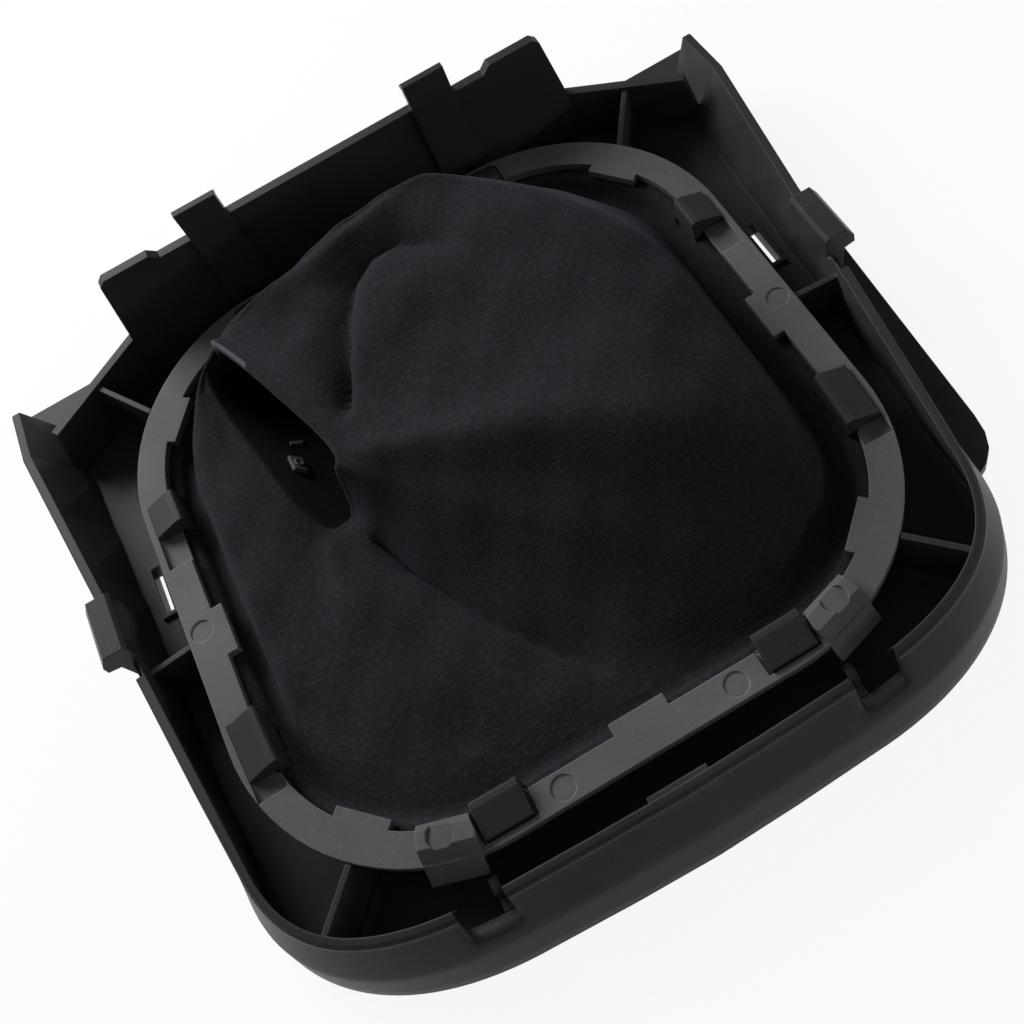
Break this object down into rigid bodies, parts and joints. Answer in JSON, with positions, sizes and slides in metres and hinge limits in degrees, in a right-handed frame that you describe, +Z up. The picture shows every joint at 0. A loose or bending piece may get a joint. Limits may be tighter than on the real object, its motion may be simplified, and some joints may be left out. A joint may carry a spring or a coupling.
{
  "type": "gear shift boot",
  "caption": "Folded cloth gear lever boot clamped in its moulded trim bezel by a snap-in retaining ring, lying face down.",
  "frame": {"origin": "middle of the bounding box, on the surface that the bezel's face plate rests on", "axes": "+Z up, away from the face plate towards the underside; +Y towards the tall rear panel; +X to the right seen from above"},
  "size_m": [0.159, 0.1452, 0.0384],
  "materials": {
    "bezel_plastic": "satin, near black",
    "ring_plastic": "fine matt, dark grey",
    "boot_cloth": "matt, navy black, fine grain"
  },
  "bodies": {
    "root": {"trim_bezel": "bezel_plastic", "retaining_ring": "ring_plastic", "boot": "boot_cloth"}
  },
  "joints": []
}
